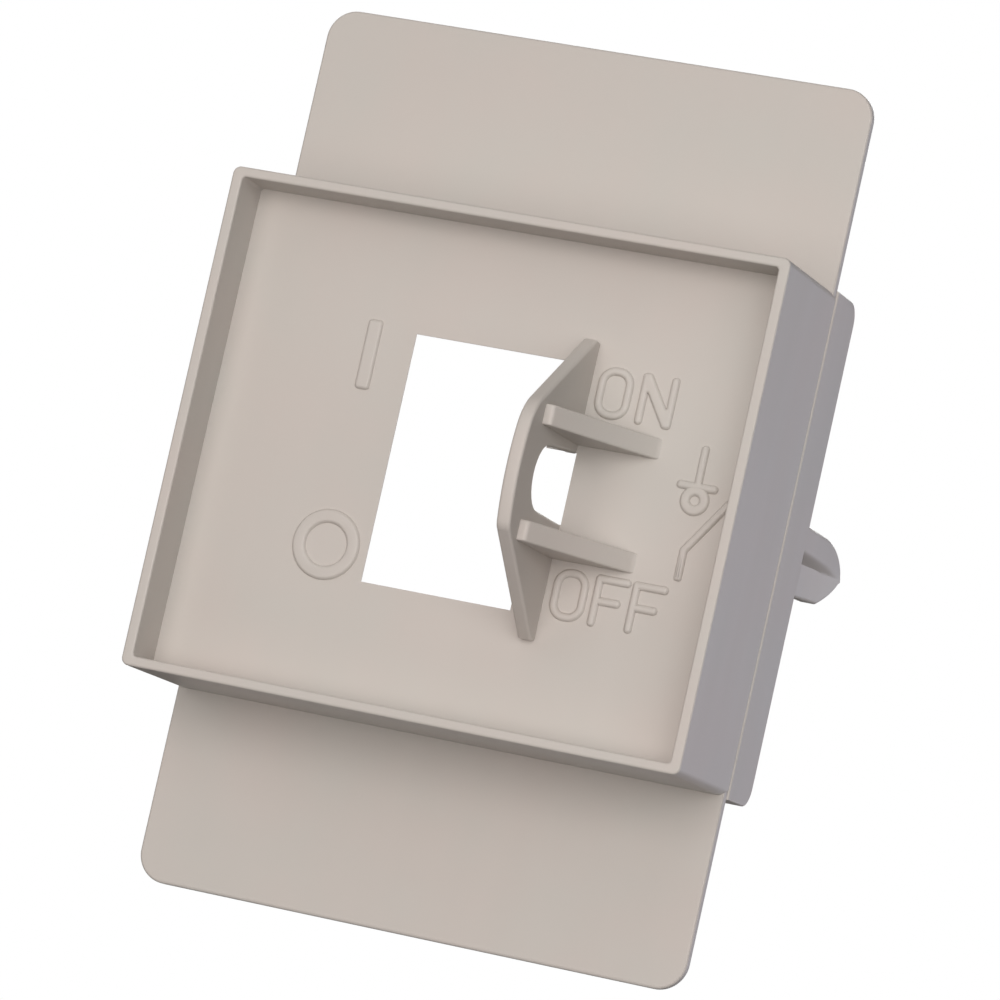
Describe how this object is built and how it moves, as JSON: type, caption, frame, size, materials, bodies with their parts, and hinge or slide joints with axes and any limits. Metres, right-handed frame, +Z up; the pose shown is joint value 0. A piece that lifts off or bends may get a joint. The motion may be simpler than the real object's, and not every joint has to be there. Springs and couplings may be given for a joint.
{
  "type": "switch cover frame",
  "caption": "Moulded front cover frame for a toggle-operated switch: shallow tray with a toggle window, arched padlock guard with ribs, two flanges, side cheeks and snap tongues.",
  "frame": {"origin": "middle of the tray, in the plane of the flanges' front faces", "axes": "+Z up the frame towards the ON word, -Y out of the front face, +X to the right as seen from the front"},
  "size_m": [0.053, 0.0434, 0.0814],
  "materials": {
    "moulded_plastic": "light warm grey moulded thermoplastic, fine satin texture"
  },
  "bodies": {
    "root": {"wall_left": "moulded_plastic", "wall_right": "moulded_plastic", "wall_top": "moulded_plastic", "wall_bottom": "moulded_plastic", "tray_floor": "moulded_plastic", "flange_upper": "moulded_plastic", "flange_lower": "moulded_plastic", "padlock_guard": "moulded_plastic", "guard_rib_upper": "moulded_plastic", "guard_rib_lower": "moulded_plastic", "cheek_left": "moulded_plastic", "cheek_right": "moulded_plastic", "mark_on_bar": "moulded_plastic", "mark_off_ring": "moulded_plastic", "word_on_o": "moulded_plastic", "word_on_n": "moulded_plastic", "word_off_o": "moulded_plastic", "word_off_f_1": "moulded_plastic", "word_off_f_2": "moulded_plastic", "symbol_contact": "moulded_plastic", "symbol_blade": "moulded_plastic"},
    "snap_left": {"tongue_left": "moulded_plastic"},
    "snap_right": {"tongue_right": "moulded_plastic"}
  },
  "joints": [
    {"name": "snap_left_flex", "type": "hinge", "parent": "root", "child": "snap_left", "pos_m": [-0.02405, 0.0075, -0.00038], "axis": [0, 0, -1], "range_deg": [0, 5], "stiffness_Nm_per_rad": 1},
    {"name": "snap_right_flex", "type": "hinge", "parent": "root", "child": "snap_right", "pos_m": [0.02405, 0.0075, -0.00038], "axis": [0, 0, 1], "range_deg": [0, 5], "stiffness_Nm_per_rad": 1}
  ]
}
